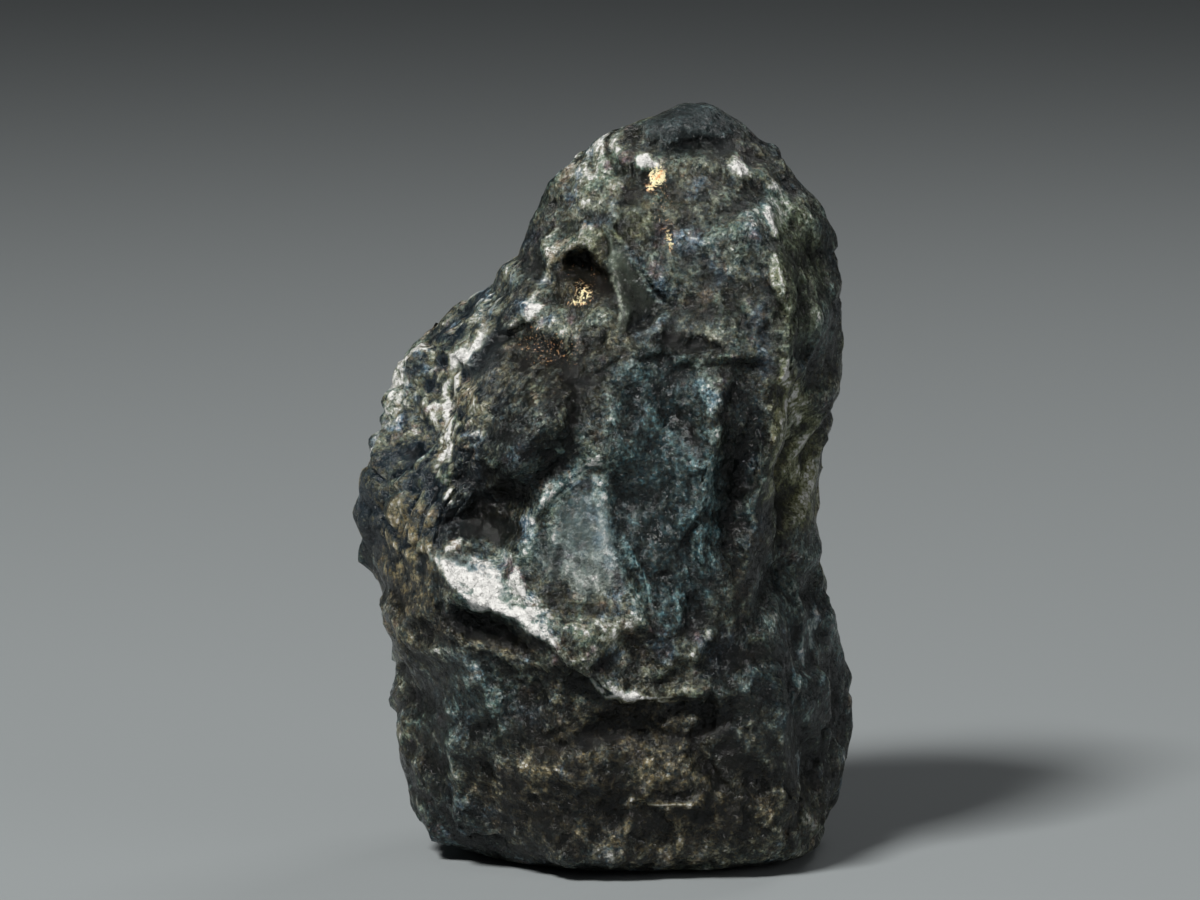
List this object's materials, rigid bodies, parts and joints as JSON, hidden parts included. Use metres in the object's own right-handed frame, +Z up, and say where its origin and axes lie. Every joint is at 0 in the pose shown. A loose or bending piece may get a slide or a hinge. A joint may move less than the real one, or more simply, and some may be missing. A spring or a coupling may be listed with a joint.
{
  "type": "alexandrite crystal",
  "caption": "Rough near-black gem crystal with blue-green and brown zones, an irregular stump with a broken ledge and pits, that stands on a small flat spot.",
  "frame": {"origin": "centre of the small flat spot that the stone stands on", "axes": "+Z up along the stone's length, -Y out of the broken front face with the ledge, +X to the right of someone who looks at that face"},
  "size_m": [0.0084, 0.0073, 0.0127],
  "materials": {
    "alexandrite": "glassy where broken and dull where worn, opaque at this thickness"
  },
  "bodies": {
    "root": {"alexandrite_crystal": "alexandrite"}
  },
  "joints": []
}
